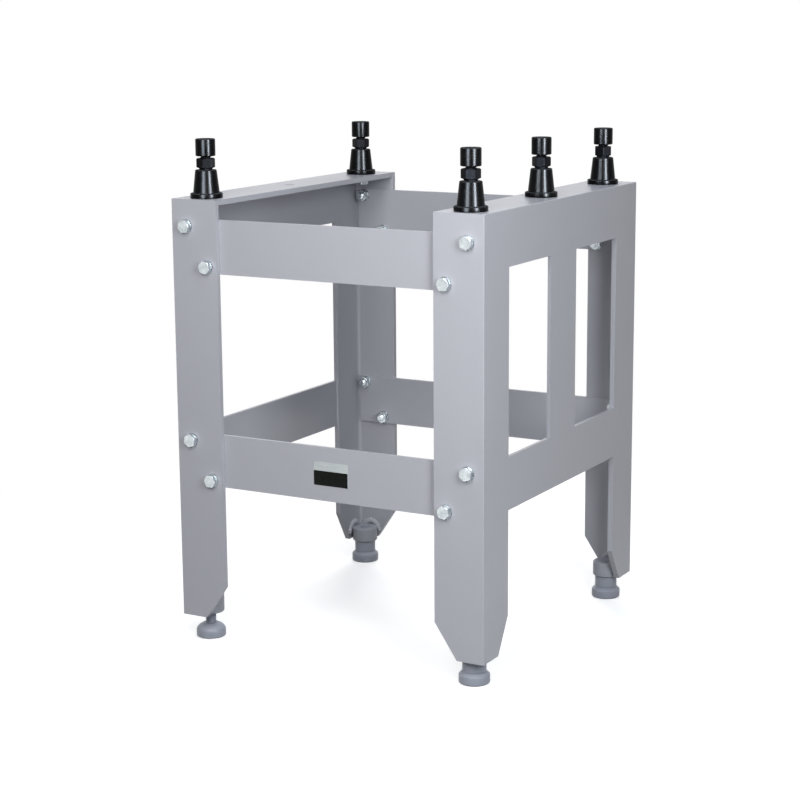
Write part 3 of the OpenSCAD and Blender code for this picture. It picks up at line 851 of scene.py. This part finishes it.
for ob in nodes.values():
    if not ob.hide_render:
        ob.data.materials.clear()
        ob.data.materials.append(PAINT)
for name in CROSS_RAILS:
    ease = nodes[name].modifiers.new("eased_edges", "BEVEL")
    ease.width = 0.0006
    ease.segments = 3
    ease.limit_method = "ANGLE"
    ease.angle_limit = math.radians(50)
    ease.harden_normals = True


# Floor, light and camera

FLOOR_SEEN = ((0.78, 0.78, 0.78), (0.80, 0.80, 0.80))
FLOOR_BOUNCE = (0.15, 0.15, 0.155)
WORLD_LIGHT = (0.035, 0.038, 0.047)
WHITE = (1.0, 1.0, 1.0)
FLOOR_SIZE, FLOOR_CELLS = 14.0, 24
FADE_START, FADE_END = 0.5, 1.1


def seen_rays(nt):
    """1 for the rays that show the background: camera, glossy and transmission rays."""
    rays = node(nt, "ShaderNodeLightPath").outputs
    return maths(nt, maths(nt, rays["Is Camera Ray"], rays["Is Glossy Ray"], "MAXIMUM"),
                 rays["Is Transmission Ray"], "MAXIMUM")


def floor_material():
    """Pale floor that keeps the shadow near the stand and is plain white further out."""
    m, nt, b = shader("pale_floor")
    nt.nodes.remove(b)
    at, seen = place(nt), seen_rays(nt)
    base = blend(nt, spread(nt, grain(nt, at, 3.0), 0.0, 1.0), *FLOOR_SEEN)
    diffuse = node(nt, "ShaderNodeBsdfDiffuse", {"Color": blend(nt, seen, FLOOR_BOUNCE, base)})
    glow = node(nt, "ShaderNodeEmission", {"Color": (*WHITE, 1), "Strength": maths(nt, seen, 0.5)})
    near = node(nt, "ShaderNodeAddShader", {0: diffuse.outputs[0], 1: glow.outputs[0]})
    away = node(nt, "ShaderNodeVectorMath", {0: at}, operation="LENGTH").outputs["Value"]
    fade = maths(nt, spread(nt, away, 0.0, 1.0, FADE_START, FADE_END), seen)
    white = node(nt, "ShaderNodeEmission", {"Color": (*WHITE, 1), "Strength": 1.0})
    both = node(nt, "ShaderNodeMixShader", {0: fade, 1: near.outputs[0], 2: white.outputs[0]})
    nt.links.new(both.outputs[0], nt.nodes["Material Output"].inputs["Surface"])
    return m


def backdrop():
    n = FLOOR_CELLS
    verts = [(FLOOR_SIZE * (i / n - 0.5), FLOOR_SIZE * (j / n - 0.5), -0.0002)
             for i in range(n + 1) for j in range(n + 1)]
    corners = [i * (n + 1) + j for i in range(n) for j in range(n)]
    me = bpy.data.meshes.new("studio_floor")
    me.from_pydata(verts, [], [(a, a + n + 1, a + n + 2, a + 1) for a in corners])
    me.materials.append(floor_material())
    ob = bpy.data.objects.new("studio_floor", me)
    bpy.context.scene.collection.objects.link(ob)


def world():
    w = bpy.data.worlds.new("studio")
    bpy.context.scene.world = w
    w.use_nodes = True
    nt = w.node_tree
    background = nt.nodes["Background"]
    nt.links.new(blend(nt, seen_rays(nt), WORLD_LIGHT, WHITE), background.inputs["Color"])
    background.inputs["Strength"].default_value = 1.0


def softbox(name, azimuth, distance, height, size, watts, target=(0, 0, 0.45), colour=WHITE):
    """Square lamp at an azimuth from the front, in metres, turned to its target."""
    light = bpy.data.lights.new(name, "AREA")
    light.shape = "RECTANGLE"
    light.size, light.size_y = size
    light.energy = watts
    light.color = colour
    ob = bpy.data.objects.new(name, light)
    a = math.radians(azimuth)
    ob.location = (math.sin(a) * distance, -math.cos(a) * distance, height)
    ob.rotation_euler = (Vector(target) - ob.location).to_track_quat("-Z", "Y").to_euler()
    ob.visible_camera = False
    bpy.context.scene.collection.objects.link(ob)
    return ob


def shine(group, pieces, lamps):
    """Lamps that only the named pieces take, for the bright lines along turned and plane black faces."""
    takers = bpy.data.collections.new(group)
    for name in pieces:
        takers.objects.link(bpy.data.objects[name])
    for lamp in lamps:
        lamp.visible_diffuse = False
        lamp.light_linking.receiver_collection = takers


backdrop()
world()

softbox("left_softbox", 10, 1.55, 1.25, (0.8, 1.0), 16.8, (0.1, 0, 0.5))
softbox("right_softbox", 52, 1.5, 0.95, (0.5, 0.9), 14.2, (0.1, 0, 0.45), (0.93, 0.97, 1.0))
softbox("top_softbox", 40, 0.5, 2.5, (1.6, 1.6), 15.8, colour=(0.84, 0.92, 1.0))
softbox("rear_softbox", 205, 2.2, 1.3, (1.2, 1.2), 40).visible_glossy = False

JACK_HEIGHT = (0, 0, 0.7)
NUT_BLUE = (0.70, 0.81, 1.0)
shine("turned_black", [key + kind for key in JACKS for kind in ("_jack_base_turned", "_jack_cap_turned")],
      [softbox("left_strip", 3, 2.1, 1.0, (0.8, 1.5), 430, JACK_HEIGHT, (0.80, 0.89, 1.0)),
       softbox("right_strip", 63, 2.1, 1.0, (0.45, 1.5), 640, JACK_HEIGHT, (0.82, 0.90, 1.0))])
shine("lock_nuts", [key + "_jack_nut_hexagon" for key in JACKS],
      [softbox("nut_strip", 24, 2.1, 0.45, (0.25, 0.6), 75, JACK_HEIGHT, NUT_BLUE),
       softbox("far_nut_strip", 70, 2.1, 0.45, (0.7, 0.6), 110, JACK_HEIGHT, NUT_BLUE)])


# Camera solved from the frame's straight edges, for a square picture

SENSOR = 36.0
FOCAL_SHARE = 1960.24 / 800.0
CAM_X, CAM_Y, CAM_OVER_TOP = 1.4025, -2.5397, 272.5
YAW, PITCH, ROLL = 0.5114, 0.2004, -0.0072


def set_camera():
    camera = bpy.data.cameras.new("camera")
    camera.sensor_width = SENSOR
    camera.lens = FOCAL_SHARE * SENSOR
    camera.clip_start, camera.clip_end = 0.05, 60.0
    cam = bpy.data.objects.new("camera", camera)
    bpy.context.scene.collection.objects.link(cam)
    bpy.context.scene.camera = cam
    forward = Vector((-math.sin(YAW) * math.cos(PITCH), math.cos(YAW) * math.cos(PITCH), -math.sin(PITCH)))
    side = forward.cross(Vector((0, 0, 1))).normalized()
    upward = side.cross(forward)
    rolled_side = side * math.cos(ROLL) + upward * math.sin(ROLL)
    rolled_up = upward * math.cos(ROLL) - side * math.sin(ROLL)
    turn = Matrix((rolled_side, rolled_up, -forward)).transposed().to_4x4()
    cam.matrix_world = Matrix.Translation((CAM_X, CAM_Y, (TOP + CAM_OVER_TOP) * MM)) @ turn


set_camera()
bpy.context.scene.view_settings.view_transform = "Standard"
